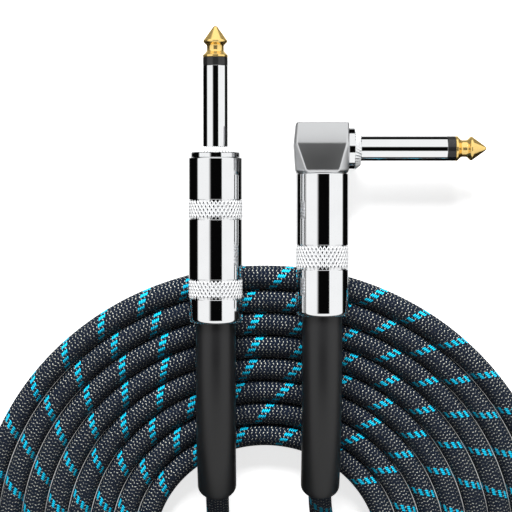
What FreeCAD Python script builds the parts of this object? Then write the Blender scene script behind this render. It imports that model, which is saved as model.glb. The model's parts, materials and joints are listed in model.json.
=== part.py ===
"""Instrument cable: a braided cord, wound flat, with a straight and a right-angle 6.35 mm phone plug.

Frame: +Z up from the table, +Y towards the straight plug's tip, +X along the right-angle plug's shaft.
The origin is on the table, at the centre of the two plugs' outline. Units are millimetres.
The cord is wound flat on the table and both plugs lie on it, nose down, with their boots curving
back to the cord inside the coil.
"""
import FreeCAD
import Part
import math
import os

Vector = FreeCAD.Vector

# ---- cord ----
cord_d = 6.1
cover_wall = 0.45           # braided cover
core_d = 2.6
conductor_d = 1.0
shield_d = 1.4

# ---- plug shafts (both plugs) ----
shaft_d = 6.35              # standard phone plug
straight_shaft_len = 30.6   # shoulder to apex
angle_shaft_len = 32.0
tip_len = 8.0
tip_ring_len = 2.05
sleeve_bore_d = 3.3
rod_d = 1.9
fit_gap = 0.05              # radial gap between nested pieces
spigot_step = 0.675         # sleeve to its thinner rear end, radial
spigot_d = shaft_d - 2 * spigot_step

# ---- tip profile, lengths from the apex ----
apex_d = 1.1
ball_d = shaft_d - 0.2
ball_at = 3.65              # end of the cone
ball_width = 0.35
neck_d = 4.35
neck_start = 4.9
neck_end = 6.45
tip_base_at = 7.35

# ---- threads, and the parts inside a barrel ----
thread_d = 11.0
thread_len = 7.0
thread_pitch = 0.8
unscrew_turns = 6
unscrew_travel = unscrew_turns * thread_pitch
running_gap = 0.05          # barrel bore to thread, radial
barrel_bore_d = thread_d + 2 * running_gap
liner_gap = 0.2             # liner to barrel bore, radial
liner_wall = 0.4
liner_start = thread_len + 1.0
liner_end_gap = 0.5         # liner to boot flange, barrel unscrewed
lip_len = 3.0
lip_gap = 0.15              # boot to barrel lip, radial
washer_len = 1.2
strip_gap = 0.1             # insulating washer to the ground lug's strip
lug_thick = 0.5
lug_strip_w = 3.6
strip_y = cord_d / 2 + fit_gap
washer_d = 2 * (strip_y - strip_gap)
tip_lug_d = 4.0
tip_lug_tab_w = 2.6
tip_lug_tab_len = 5.0
tip_lug_thick = 0.4
crimp_len = 5.0
crimp_wall = 0.5
crimp_gap_deg = 50.0
crimp_from_rear = 16.0      # front of the claws, from the barrel's rear
solder_d = 2.3

# ---- straight plug ----
straight_barrel_wall = 1.3
straight_barrel_d = barrel_bore_d + 2 * straight_barrel_wall
straight_barrel_len = 42.0
collar_step = 0.6           # barrel to collar, radial
collar_d = straight_barrel_d - 2 * collar_step
collar_len = 2.75
collar_flat = 1.3
collar_nose_d = shaft_d + 1.35
straight_spigot_len = 4.5
straight_lug_d = thread_d - 2.4
straight_knurl_starts = (10.6, straight_barrel_len - 11.2)
straight_knurl_len = 5.0

# ---- right-angle plug ----
angle_barrel_wall = 1.1
angle_barrel_d = barrel_bore_d + 2 * angle_barrel_wall
angle_barrel_len = 36.3
angle_knurl_starts = (angle_barrel_len - 18.1,)
angle_knurl_len = 6.2
head_left = 7.3             # head block, from the barrel axis
head_right = 6.5
head_half_depth = 6.8
head_len = 12.7
head_square_from = 7.4      # the square band starts here and leans inwards to the end
head_lean = 0.8
head_left_lean = 0.5
head_foot_r = angle_barrel_d / 2 + 0.85
head_foot_len = 0.8
head_cone_low_r = head_foot_r + 0.7
head_wall = 1.3             # threaded stub
head_cavity_d = thread_d - 2 * head_wall
head_roof = 2.3
cross_at = head_len / 2     # shaft axis, from the seam
angle_lug_d = thread_d - 1.4
angle_lug_hole_d = head_cavity_d - 1.4
flange_d = 10.5
flange_len = 3.2
flange_flat = 1.7
flange_nose_d = shaft_d + 1.85
insert_d = 7.0
insert_len = 4.0
angle_spigot_len = 5.2
angle_washer_d = 5.4
angle_tab_low = 1.6         # end of the tip lug's tab, from the seam

# ---- barrels ----
front_round = 0.25
rear_round = 1.1
knurl_depth = 0.3

# ---- boots ----
boot_d = 10.2
boot_cord_gap = 0.1
boot_bore_d = cord_d + 2 * boot_cord_gap
boot_flange_gap = 0.15      # flange to barrel bore, radial
boot_flange_d = barrel_bore_d - 2 * boot_flange_gap
boot_flange_len = 1.5
boot_flange_end_gap = 0.2   # flange to barrel lip
boot_stub = 7.0             # straight length behind the barrel
straight_boot_r = 61.0
straight_boot_turn = 38.0
angle_boot_r = 66.0
angle_boot_turn = 36.0

# ---- the coil: a flat spiral, wound outwards clockwise seen from above ----
coil_x = -19.3
coil_y = -80.1
coil_pitch = cord_d + 0.05
coil_start_r = 31.385       # cord centre line at the inner end
coil_start_deg = 205.0
coil_end_deg = -42.0
coil_whole_turns = 7
coil_oval = 14.0            # the half away from the plugs is longer by this
coil_turns = coil_whole_turns + (coil_start_deg - coil_end_deg) / 360.0
outline_steps = 24

# ---- where the plugs lie ----
straight_nose_down_deg = 9.7
angle_nose_down_deg = 10.7
straight_x = -31.0
straight_seam_y = 28.5
angle_x = -3.8
angle_seam_y = 24.5

# ---- cord routes, from the boot to the coil ----
# Each starts at its boot's end; the last point, at the coil, is worked out below.
straight_route = [
    (-31.0, -65.8, 6.2),
    (-30.8, -73.9, 4.1),
    (-30.7, -82.7, 3.3),
    (-31.0, -91.3, 4.0),
    (-31.2, -99.3, 6.0),
    (-31.2, -106.5, 8.3),
    (-31.1, -113.9, 9.6),
    (-31.0, -122.7, 9.6),
    (-30.9, -131.2, 9.4),
    (-30.3, -139.7, 9.4),
    (-27.3, -148.6, 9.4),
    (-20.8, -156.9, 9.4),
    (-11.9, -162.5, 9.4),
    (-1.6, -164.7, 9.4),
    (8.8, -163.2, 9.4),
    (18.6, -161.0, 8.9),
    (26.8, -155.8, 6.2),
    (33.0, -149.1, 3.5),
]
angle_route = [
    (-3.8, -65.9, 7.7),
    (-1.6, -74.4, 4.6),
    (2.7, -82.4, 3.2),
    (4.9, -90.9, 3.1),
    (4.2, -99.7, 3.1),
    (0.8, -107.8, 3.1),
    (-5.1, -114.3, 3.1),
    (-12.9, -118.4, 3.1),
    (-21.6, -119.6, 3.1),
    (-30.3, -117.9, 3.1),
    (-37.9, -113.6, 3.1),
    (-44.0, -107.3, 3.1),
]


def turned(profile):
    """A solid turned about Z from a closed outline of (radius, height) points."""
    wire = Part.makePolygon([Vector(r, 0, z) for r, z in profile + profile[:1]])
    return Part.Face(wire).revolve(Vector(0, 0, 0), Vector(0, 0, 1), 360)


def pipe(outer_d, inner_d, low, high):
    """A straight tube about Z; no bore when inner_d is 0."""
    body = Part.makeCylinder(outer_d / 2, high - low, Vector(0, 0, low))
    if inner_d:
        body = body.cut(Part.makeCylinder(inner_d / 2, high - low, Vector(0, 0, low)))
    return body


def plate(width, thick, at_y, low, high):
    """A flat strip along Z, its inner face at at_y."""
    return Part.makeBox(width, thick, high - low, Vector(-width / 2, at_y, low))


def along_x(shape, at_z):
    """A piece modelled about Z, laid along +X with its zero at the origin, at height at_z."""
    moved = shape.copy()
    moved.rotate(Vector(0, 0, 0), Vector(0, 1, 0), 90)
    moved.translate(Vector(0, 0, at_z))
    return moved


# ---- pieces of a plug shaft, about Z, shoulder at zero ----
def tip_contact(shaft_len, rod_end):
    """Gold tip in one piece with the rod that runs back through the sleeve."""
    base = shaft_len - tip_len
    return turned([
        (0, rod_end),
        (rod_d / 2, rod_end),
        (rod_d / 2, base),
        (shaft_d / 2, base),
        (shaft_d / 2, shaft_len - tip_base_at),
        (neck_d / 2, shaft_len - neck_end),
        (neck_d / 2, shaft_len - neck_start),
        (ball_d / 2, shaft_len - ball_at - ball_width),
        (ball_d / 2, shaft_len - ball_at),
        (apex_d / 2, shaft_len),
        (0, shaft_len),
    ])


def tip_ring(shaft_len):
    """Black insulating ring between tip and sleeve."""
    front = shaft_len - tip_len
    return pipe(shaft_d, rod_d + 2 * fit_gap, front - tip_ring_len, front)


def inner_tube(shaft_len, rear):
    """Insulating tube round the rod, inside the sleeve."""
    return pipe(sleeve_bore_d - 2 * fit_gap, rod_d + 2 * fit_gap, rear, shaft_len - tip_len - tip_ring_len)


def sleeve(shaft_len, spigot_len):
    """Sleeve contact, with the thinner spigot pressed into the collar."""
    front = shaft_len - tip_len - tip_ring_len
    bore_r = sleeve_bore_d / 2
    return turned([
        (bore_r, -spigot_len),
        (spigot_d / 2, -spigot_len),
        (spigot_d / 2, 0),
        (shaft_d / 2, 0),
        (shaft_d / 2, front),
        (bore_r, front),
    ])


# ---- pieces round a barrel, about Z, seam at zero, nose towards +Z ----
def barrel(outer_d, length, knurl_starts, knurl_len):
    """Screw-on shell: threaded front, rear lip round the boot, shallow bands for the knurling."""
    bore = barrel_bore_d / 2
    lip = boot_d / 2 + lip_gap
    radius = outer_d / 2
    mid = rear_round * (1 - math.sqrt(0.5))
    corner = Part.Arc(
        Vector(radius, 0, -length + rear_round),
        Vector(radius - mid, 0, -length + mid),
        Vector(radius - rear_round, 0, -length),
    ).toShape()
    points = [
        (radius - rear_round, -length),
        (lip, -length),
        (lip, -length + lip_len),
        (bore, -length + lip_len),
        (bore, 0),
        (radius - front_round, 0),
        (radius, -front_round),
        (radius, -length + rear_round),
    ]
    edges = [corner]
    for (r1, z1), (r2, z2) in zip(points[:-1], points[1:]):
        edges.append(Part.makeLine(Vector(r1, 0, z1), Vector(r2, 0, z2)))
    wire = Part.Wire(Part.__sortEdges__(edges))
    shell = Part.Face(wire).revolve(Vector(0, 0, 0), Vector(0, 0, 1), 360)
    for start in knurl_starts:
        band = pipe(outer_d + 2, outer_d - 2 * knurl_depth, -start - knurl_len, -start)
        shell = shell.cut(band)
    return shell


def flange_front(barrel_len):
    """Front face of the boot's flange, which lies just ahead of the barrel's lip."""
    return -(barrel_len - lip_len - boot_flange_end_gap - boot_flange_len)


def liner(barrel_len):
    """Insulating sleeve carried inside the barrel, clear of the boot's flange when unscrewed."""
    outer = barrel_bore_d - 2 * liner_gap
    rear = flange_front(barrel_len) + unscrew_travel + liner_end_gap
    return pipe(outer, outer - 2 * liner_wall, rear, -liner_start)


def boot_line(barrel_len, start_z, bend_r, turn_deg):
    """Centre line of boot and cable end: straight, then curving towards +Y (downwards when placed)."""
    bend_z = -(barrel_len + boot_stub)
    half = math.radians(turn_deg / 2)
    turn = math.radians(turn_deg)
    middle = Vector(0, bend_r * (1 - math.cos(half)), bend_z - bend_r * math.sin(half))
    end = Vector(0, bend_r * (1 - math.cos(turn)), bend_z - bend_r * math.sin(turn))
    straight = Part.LineSegment(Vector(0, 0, start_z), Vector(0, 0, bend_z)).toShape()
    bend = Part.Arc(Vector(0, 0, bend_z), middle, end).toShape()
    return Part.Wire([straight, bend])


def swept(line, start_z, outer_d, inner_d):
    """A round section, with or without a bore, along a boot line."""
    def ring(d):
        return Part.Wire(Part.makeCircle(d / 2, Vector(0, 0, start_z), Vector(0, 0, -1)))
    body = line.makePipeShell([ring(outer_d)], True, True)
    if inner_d:
        body = body.cut(line.makePipeShell([ring(inner_d)], True, True))
    return body


def boot(barrel_len, bend_r, turn_deg):
    """Rubber strain relief, held by its flange in front of the barrel's lip."""
    front = flange_front(barrel_len)
    body = swept(boot_line(barrel_len, front, bend_r, turn_deg), front, boot_d, boot_bore_d)
    flange = pipe(boot_flange_d, boot_bore_d, front - boot_flange_len, front)
    return body.fuse(flange).removeSplitter()


def ground_lug(ring_d, hole_d, crimp_front):
    """Sleeve terminal: a ring on the threaded body, a strip, and claws round the cable."""
    ring = pipe(ring_d, hole_d, -thread_len - lug_thick, -thread_len)
    rear = crimp_front - crimp_len
    claw_r = strip_y + crimp_wall
    strip = plate(lug_strip_w, crimp_wall, strip_y, rear, -thread_len)
    strip = strip.cut(Part.makeCylinder(strip_y, -thread_len - rear, Vector(0, 0, rear)))
    claws = pipe(2 * claw_r, 2 * strip_y, rear, crimp_front)
    slot_w = 2 * claw_r * math.sin(math.radians(crimp_gap_deg / 2))
    claws = claws.cut(Part.makeBox(slot_w, 2 * claw_r, crimp_len, Vector(-slot_w / 2, -2 * claw_r, rear)))
    return ring.fuse([strip, claws]).removeSplitter()


def solder_bead(wire_front, core_front, away):
    """Solder on the conductor's end, cut round the wire and flat where it meets the lug's tab."""
    bead = Part.makeSphere(solder_d / 2, Vector(0, 0, wire_front - 1.3))
    bead = bead.cut(pipe(conductor_d, 0, core_front, wire_front + 0.5))
    block = Part.makeBox(4, 4, 10, Vector(-2, -2, wire_front - 6))
    block.translate(away * (2 + conductor_d / 2 + fit_gap))
    return bead.cut(block)


def cable_nodes(side, barrel_len, crimp_front, core_front, wire_front, bend_r, turn_deg):
    """The cable's own layers inside the plug, each stripped a little shorter than the next."""
    cover_z = crimp_front + 0.8
    jacket_z = cover_z + 1.2
    shield_y = strip_y - shield_d / 2 - fit_gap
    shield_front = jacket_z + 6.0
    cover_bore_d = cord_d - 2 * cover_wall
    cover_line = boot_line(barrel_len, cover_z, bend_r, turn_deg)
    jacket_line = boot_line(barrel_len, jacket_z, bend_r, turn_deg)
    shield = pipe(shield_d, 0, jacket_z, shield_front)
    shield.translate(Vector(0, shield_y, 0))
    ground_joint = Part.makeBox(2.5, 1.0, 2.4, Vector(-1.25, strip_y - 1.0, shield_front - 2.0))
    ground_joint = ground_joint.cut(shield)
    return {
        side + "_cable_cover": swept(cover_line, cover_z, cord_d, cover_bore_d),
        side + "_cable_jacket": swept(jacket_line, jacket_z, cover_bore_d - 2 * fit_gap, 0),
        side + "_shield_tail": shield,
        side + "_core": pipe(core_d, 0, jacket_z, core_front),
        side + "_conductor": pipe(conductor_d, 0, core_front, wire_front),
        side + "_ground_solder": ground_joint,
    }


# ---- straight plug ----
def straight_plug():
    shoulder = Vector(0, 0, collar_len)
    collar_rear = -thread_len
    pocket = collar_len - straight_spigot_len - fit_gap
    washer_rear = collar_rear - lug_thick - washer_len
    lug_rear = washer_rear - tip_lug_thick
    nodes = {}
    collar = turned([
        (sleeve_bore_d / 2, collar_rear),
        (thread_d / 2, collar_rear),
        (thread_d / 2, 0),
        (collar_d / 2, 0),
        (collar_d / 2, collar_flat),
        (collar_nose_d / 2, collar_len),
        (spigot_d / 2 + fit_gap, collar_len),
        (spigot_d / 2 + fit_gap, pocket),
        (sleeve_bore_d / 2, pocket),
    ])
    nodes["straight_collar"] = collar
    for name, shape in (
        ("straight_tip_contact", tip_contact(straight_shaft_len, lug_rear - collar_len)),
        ("straight_tip_ring", tip_ring(straight_shaft_len)),
        ("straight_inner_tube", inner_tube(straight_shaft_len, collar_rear - lug_thick - collar_len)),
        ("straight_sleeve", sleeve(straight_shaft_len, straight_spigot_len)),
    ):
        shape.translate(shoulder)
        nodes[name] = shape
    nodes["straight_washer"] = pipe(washer_d, rod_d + 2 * fit_gap, washer_rear, collar_rear - lug_thick)
    lug = pipe(tip_lug_d, rod_d + 2 * fit_gap, lug_rear, washer_rear)
    tab_y = conductor_d / 2 + fit_gap
    tab = plate(tip_lug_tab_w, tip_lug_thick, tab_y, lug_rear - tip_lug_tab_len, lug_rear)
    nodes["straight_tip_lug"] = lug.fuse(tab).removeSplitter()
    crimp_front = crimp_from_rear - straight_barrel_len
    nodes["straight_ground_lug"] = ground_lug(straight_lug_d, sleeve_bore_d, crimp_front)
    nodes["straight_barrel"] = barrel(
        straight_barrel_d, straight_barrel_len, straight_knurl_starts, straight_knurl_len
    )
    nodes["straight_liner"] = liner(straight_barrel_len)
    nodes["straight_boot"] = boot(straight_barrel_len, straight_boot_r, straight_boot_turn)
    core_front = lug_rear - tip_lug_tab_len
    wire_front = lug_rear - 1.2
    nodes.update(cable_nodes(
        "straight", straight_barrel_len, crimp_front, core_front, wire_front,
        straight_boot_r, straight_boot_turn,
    ))
    nodes["straight_tip_solder"] = solder_bead(wire_front, core_front, Vector(0, 1, 0))
    return nodes


# ---- right-angle plug ----
def head_block():
    """Square block whose corners are turned to a cone towards the barrel, with a threaded stub below."""
    width = head_left + head_right
    depth = 2 * head_half_depth
    lower = Part.makeBox(width, depth, head_square_from, Vector(-head_left, -head_half_depth, 0))

    def rectangle(lean, z):
        x0 = -head_left + (head_left_lean if lean else 0)
        x1 = head_right
        y = head_half_depth - lean
        return Part.makePolygon([
            Vector(x0, -y, z), Vector(x1, -y, z), Vector(x1, y, z), Vector(x0, y, z), Vector(x0, -y, z),
        ])

    upper = Part.makeLoft([rectangle(0, head_square_from), rectangle(head_lean, head_len)], True, True)
    block = lower.fuse(upper).removeSplitter()
    corner_r = math.hypot(head_left, head_half_depth) + 0.1
    cone = turned([
        (0, 0),
        (head_foot_r, 0),
        (head_cone_low_r, head_foot_len),
        (corner_r, head_square_from),
        (corner_r, head_len + 1),
        (0, head_len + 1),
    ])
    block = block.common(cone)
    block = block.fuse(pipe(thread_d, 0, -thread_len, 0))
    block = block.cut(pipe(head_cavity_d, 0, -thread_len, head_len - head_roof))
    cross = along_x(pipe(insert_d + 2 * fit_gap, 0, 0, head_right), cross_at)
    return block.cut(cross).removeSplitter()


def angle_plug():
    shoulder = head_right + flange_len
    pocket = shoulder - angle_spigot_len - fit_gap
    insert_rear = head_right - insert_len
    washer_rear = insert_rear - washer_len
    lug_rear = conductor_d / 2 + fit_gap
    nodes = {"angle_head": head_block()}
    collar = turned([
        (sleeve_bore_d / 2, insert_rear),
        (insert_d / 2, insert_rear),
        (insert_d / 2, head_right),
        (flange_d / 2, head_right),
        (flange_d / 2, head_right + flange_flat),
        (flange_nose_d / 2, shoulder),
        (spigot_d / 2 + fit_gap, shoulder),
        (spigot_d / 2 + fit_gap, pocket),
        (sleeve_bore_d / 2, pocket),
    ])
    nodes["angle_collar"] = along_x(collar, cross_at)
    for name, shape in (
        ("angle_tip_contact", tip_contact(angle_shaft_len, lug_rear - 0.5 - shoulder)),
        ("angle_tip_ring", tip_ring(angle_shaft_len)),
        ("angle_inner_tube", inner_tube(angle_shaft_len, insert_rear - shoulder)),
        ("angle_sleeve", sleeve(angle_shaft_len, angle_spigot_len)),
    ):
        shape.translate(Vector(0, 0, shoulder))
        nodes[name] = along_x(shape, cross_at)
    nodes["angle_washer"] = along_x(
        pipe(angle_washer_d, rod_d + 2 * fit_gap, washer_rear, insert_rear), cross_at
    )
    ring = along_x(pipe(tip_lug_d, rod_d + 2 * fit_gap, lug_rear, washer_rear), cross_at)
    tab = Part.makeBox(
        tip_lug_thick, tip_lug_tab_w, cross_at - rod_d / 2 - 0.2 - angle_tab_low,
        Vector(lug_rear, -tip_lug_tab_w / 2, angle_tab_low),
    )
    nodes["angle_tip_lug"] = ring.fuse(tab).removeSplitter()
    crimp_front = crimp_from_rear - angle_barrel_len
    nodes["angle_ground_lug"] = ground_lug(angle_lug_d, angle_lug_hole_d, crimp_front)
    nodes["angle_barrel"] = barrel(
        angle_barrel_d, angle_barrel_len, angle_knurl_starts, angle_knurl_len
    )
    nodes["angle_liner"] = liner(angle_barrel_len)
    nodes["angle_boot"] = boot(angle_barrel_len, angle_boot_r, angle_boot_turn)
    core_front = angle_tab_low - 1.0
    wire_front = angle_tab_low + 2.6
    nodes.update(cable_nodes(
        "angle", angle_barrel_len, crimp_front, core_front, wire_front,
        angle_boot_r, angle_boot_turn,
    ))
    nodes["angle_tip_solder"] = solder_bead(wire_front, core_front, Vector(1, 0, 0))
    return nodes


# ---- placing the plugs ----
def drop_to_table(lowest, tilt_deg):
    """Height of a seam whose listed (length, radius) points must not go below the table."""
    tilt = math.radians(tilt_deg)
    return max(z * math.sin(tilt) + r * math.cos(tilt) for z, r in lowest)


def placed(shape, x, y, z, tilt_deg):
    """A plug piece turned from its own axis (nose along +Z) to nose-down along +Y."""
    moved = shape.copy()
    moved.rotate(Vector(0, 0, 0), Vector(1, 0, 0), -(90 + tilt_deg))
    moved.translate(Vector(x, y, z))
    return moved


def boot_end(barrel_len, bend_r, turn_deg, seat):
    """End of a boot's centre line on the placed plug, and its direction."""
    bend = boot_line(barrel_len, 0, bend_r, turn_deg).Edges[-1]
    end = placed(Part.Vertex(bend.valueAt(bend.LastParameter)), *seat).Point
    slope = math.radians(turn_deg - seat[3])
    return end, Vector(0, -math.cos(slope), -math.sin(slope))


# ---- cord ----
def spiral_point(turns, offset):
    """A point of the flat spiral, offset outwards from the cord's centre line."""
    angle = math.radians(coil_start_deg - 360 * turns)
    radius = coil_start_r + coil_pitch * turns + offset
    deep = radius + coil_oval if math.sin(angle) < 0 else radius
    return Vector(coil_x + radius * math.cos(angle), coil_y + deep * math.sin(angle), 0)


def outline(first_turn, offset):
    """One whole turn of the spiral's edge, closed by the radial step of one pitch."""
    steps = 4 * outline_steps
    points = [spiral_point(first_turn + k / steps, offset) for k in range(steps + 1)]
    curve = Part.BSplineCurve()
    curve.interpolate(points)
    return Part.Wire([curve.toShape(), Part.makeLine(points[-1], points[0])])


def coil():
    """The coil's outer shape: a flat ring as thick as the cord, with one step inside and one outside."""
    outer = Part.Face(outline(coil_turns - 1, cord_d / 2)).extrude(Vector(0, 0, cord_d))
    inner = Part.Face(outline(0, -cord_d / 2)).extrude(Vector(0, 0, cord_d))
    return outer.cut(inner)


def cord_tube(points, name):
    """Straight runs joined by tangent arcs, as large as the two runs allow."""
    edges = []
    last = points[0]
    radii = []
    for before, corner, after in zip(points[:-2], points[1:-1], points[2:]):
        into = corner - before
        out = after - corner
        half = into.getAngle(out) / 2
        reach = 0.45 * min(into.Length, out.Length)
        radius = reach / math.tan(half)
        start = corner - into.normalize() * reach
        end = corner + out.normalize() * reach
        inward = (out - into).normalize()
        middle = corner + inward * (radius / math.cos(half) - radius)
        edges.append(Part.LineSegment(last, start).toShape())
        edges.append(Part.Arc(start, middle, end).toShape())
        radii.append(radius)
        last = end
    edges.append(Part.LineSegment(last, points[-1]).toShape())
    path = Part.Wire(edges)
    section = Part.Wire(Part.makeCircle(cord_d / 2, points[0], points[1] - points[0]))
    tube = path.makePipeShell([section], True, True)
    wanted = path.Length * math.pi * cord_d ** 2 / 4
    print(name, "length", round(path.Length, 1), "volume share", round(tube.Volume / wanted, 4))
    print(name, "radii", [round(r, 1) for r in radii], "smallest in diameters", round(min(radii) / cord_d, 2))
    return tube


def coil_length():
    steps = 2000
    points = [spiral_point(coil_turns * k / steps, 0) for k in range(steps + 1)]
    return sum((b - a).Length for a, b in zip(points[:-1], points[1:]))


def save(name, shape):
    solids = shape.Solids
    kept = solids[0] if len(solids) == 1 else Part.makeCompound(solids)
    if not kept.isValid() or not solids:
        raise ValueError(name + " is not a valid solid")
    kept.exportStep("parts/" + name + ".step")


def main():
    os.makedirs("parts", exist_ok=True)
    straight_z = drop_to_table(
        [(collar_len + straight_shaft_len - ball_at, ball_d / 2)], straight_nose_down_deg)
    angle_z = drop_to_table([
        (head_square_from, head_half_depth),
        (head_len, head_half_depth - head_lean),
    ], angle_nose_down_deg)
    straight_seat = (straight_x, straight_seam_y, straight_z, straight_nose_down_deg)
    angle_seat = (angle_x, angle_seam_y, angle_z, angle_nose_down_deg)
    for name, shape in straight_plug().items():
        save(name, placed(shape, *straight_seat))
    for name, shape in angle_plug().items():
        save(name, placed(shape, *angle_seat))
    print("straight seat", straight_seat, "angle seat", angle_seat)

    inner_end = spiral_point(0, 0) + Vector(0, 0, cord_d / 2)
    outer_end = spiral_point(coil_turns, 0) + Vector(0, 0, cord_d / 2)
    straight_exit, straight_way = boot_end(
        straight_barrel_len, straight_boot_r, straight_boot_turn, straight_seat)
    angle_exit, angle_way = boot_end(angle_barrel_len, angle_boot_r, angle_boot_turn, angle_seat)
    print("straight exit", straight_exit, straight_way)
    print("angle exit", angle_exit, angle_way)
    print("coil ends", inner_end, outer_end, "length", round(coil_length(), 1))
    save("cord_coil", coil())
    save("cord_straight_tail", cord_tube(
        [straight_exit] + [Vector(*p) for p in straight_route] + [outer_end], "straight tail"))
    save("cord_angle_tail", cord_tube(
        [angle_exit] + [Vector(*p) for p in angle_route] + [inner_end], "angle tail"))


main()
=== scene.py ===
import json
import math

import bmesh
import bpy
from mathutils import Matrix, Vector


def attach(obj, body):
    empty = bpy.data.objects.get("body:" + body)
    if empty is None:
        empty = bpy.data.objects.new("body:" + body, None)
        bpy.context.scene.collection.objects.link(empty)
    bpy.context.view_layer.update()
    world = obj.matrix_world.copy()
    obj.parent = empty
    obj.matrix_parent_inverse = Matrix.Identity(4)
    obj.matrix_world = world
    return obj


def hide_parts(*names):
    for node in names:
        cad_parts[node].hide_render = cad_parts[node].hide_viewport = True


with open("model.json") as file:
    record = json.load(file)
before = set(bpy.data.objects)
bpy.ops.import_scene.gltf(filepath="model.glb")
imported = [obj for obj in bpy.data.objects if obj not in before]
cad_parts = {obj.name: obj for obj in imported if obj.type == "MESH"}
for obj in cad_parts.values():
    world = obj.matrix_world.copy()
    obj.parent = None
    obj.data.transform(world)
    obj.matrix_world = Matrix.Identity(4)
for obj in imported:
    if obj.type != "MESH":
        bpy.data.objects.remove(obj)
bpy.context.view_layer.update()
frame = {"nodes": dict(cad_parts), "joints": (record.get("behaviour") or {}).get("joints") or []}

scene = bpy.context.scene
scene.view_settings.view_transform = "Standard"
mm = 0.001
axisTouch = 1e-6         # mm; a smaller radius is a point on the axis
samePoint = 1e-7         # m; closer points are one
print("frame loaded")

# camera, looking down on the plugs from their tip end
cameraSetup = {
    "place": (-20.7 * mm, 83.35 * mm, 386.1 * mm),
    "pitchDeg": -12.0,
    "lensMm": 105.5,
}


def addCamera(setup):
    data = bpy.data.cameras.new("viewCamera")
    data.lens = setup["lensMm"]
    camera = bpy.data.objects.new("viewCamera", data)
    camera.location = setup["place"]
    camera.rotation_euler = (math.radians(setup["pitchDeg"]), 0, 0)
    scene.collection.objects.link(camera)
    scene.camera = camera


addCamera(cameraSetup)


# small helpers
def meshObject(name, mesh, material=None):
    piece = bpy.data.objects.new(name, mesh)
    scene.collection.objects.link(piece)
    if material:
        mesh.materials.clear()
        mesh.materials.append(material)
    return piece


def smoothMesh(mesh, sharpDeg=35):
    for face in mesh.polygons:
        face.use_smooth = True
    mesh.set_sharp_from_angle(angle=math.radians(sharpDeg))
    return mesh


def seatOf(side):
    # a plug's own frame: zero at the barrel's front face, +Z to the nose, +Y down
    hinge = next(j for j in frame["joints"] if j["name"] == side + "_shell_unscrew")
    nose = -Vector(hinge["axis"]).normalized()
    across = Vector((1, 0, 0))
    down = nose.cross(across)
    seat = Matrix((across, down, nose)).transposed().to_4x4()
    seat.translation = Vector(hinge["pos_m"])
    return seat


def heldProfile(profile, longMm=0.9, keepMm=0.06):
    # extra points near the ends of long runs, so that smooth shading stays true along them
    held = []
    for start, end in zip(profile, profile[1:] + profile[:1]):
        held.append(start)
        run = math.dist(start, end)
        if run > longMm and max(start[0], end[0]) > axisTouch:
            for share in (keepMm / run, 1 - keepMm / run):
                held.append(tuple(a + (b - a) * share for a, b in zip(start, end)))
    return held


def turnedMesh(name, profile, segments=96):
    # profile: (radius, length) pairs in mm, running round the section
    bm = bmesh.new()
    rings = []
    for r, z in heldProfile(profile):
        if r < axisTouch:
            rings.append([bm.verts.new((0, 0, z * mm))])
            continue
        ring = []
        for k in range(segments):
            angle = 2 * math.pi * k / segments
            ring.append(bm.verts.new((r * mm * math.cos(angle), r * mm * math.sin(angle), z * mm)))
        rings.append(ring)
    for a, b in zip(rings, rings[1:] + rings[:1]):
        if len(a) == 1 and len(b) == 1:
            continue
        for k in range(segments):
            n = (k + 1) % segments
            if len(a) == 1:
                bm.faces.new((a[0], b[n], b[k]))
            elif len(b) == 1:
                bm.faces.new((a[k], a[n], b[0]))
            else:
                bm.faces.new((a[k], a[n], b[n], b[k]))
    bmesh.ops.remove_doubles(bm, verts=bm.verts, dist=samePoint)
    bmesh.ops.recalc_face_normals(bm, faces=bm.faces)
    mesh = bpy.data.meshes.new(name)
    bm.to_mesh(mesh)
    bm.free()
    return mesh


def arcPoints(cx, cz, radius, fromDeg, toDeg, steps=4):
    points = []
    for k in range(steps + 1):
        angle = math.radians(fromDeg + (toDeg - fromDeg) * k / steps)
        points.append((cx + radius * math.cos(angle), cz + radius * math.sin(angle)))
    return points


# materials
class Nodes:
    # short way to write node trees
    def __init__(self, tree):
        self.tree = tree
        self.links = tree.links

    def add(self, kind, **inputs):
        node = self.tree.nodes.new(kind)
        self.fill(node, inputs)
        return node

    def fill(self, node, inputs):
        for key, value in inputs.items():
            socket = node.inputs[int(key[1:]) if key[0] == "i" and key[1:].isdigit() else key]
            if isinstance(value, bpy.types.NodeSocket):
                self.links.new(value, socket)
            else:
                socket.default_value = value

    def math(self, operation, a, b=0.0, c=None, clamp=False):
        node = self.tree.nodes.new("ShaderNodeMath")
        node.operation = operation
        node.use_clamp = clamp
        inputs = {"i0": a, "i1": b}
        if c is not None:
            inputs["i2"] = c
        self.fill(node, inputs)
        return node.outputs[0]

    def step(self, value, low, high):
        # smooth ramp from 0 at low to 1 at high
        node = self.tree.nodes.new("ShaderNodeMapRange")
        node.interpolation_type = "SMOOTHSTEP"
        self.fill(node, {"Value": value, "From Min": low, "From Max": high})
        return node.outputs[0]

    def mix(self, factor, a, b):
        node = self.tree.nodes.new("ShaderNodeMix")
        node.data_type = "RGBA"
        self.fill(node, {"i0": factor, "i6": a, "i7": b})
        return node.outputs[2]

    def noise(self, vector, scale, detail=2.0):
        node = self.add("ShaderNodeTexNoise", Vector=vector, Scale=scale, Detail=detail)
        return node.outputs["Fac"]

    def bump(self, height, distance, strength=1.0):
        node = self.add("ShaderNodeBump", Height=height, Distance=distance, Strength=strength)
        return node.outputs[0]


def newMaterial(name, baseColour, **settings):
    material = bpy.data.materials.new(name)
    material.use_nodes = True
    tree = Nodes(material.node_tree)
    shader = material.node_tree.nodes["Principled BSDF"]
    if baseColour:
        shader.inputs["Base Color"].default_value = (*baseColour, 1)
    for key, value in settings.items():
        shader.inputs[key.replace("_", " ")].default_value = value
    return material, tree, shader


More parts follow.
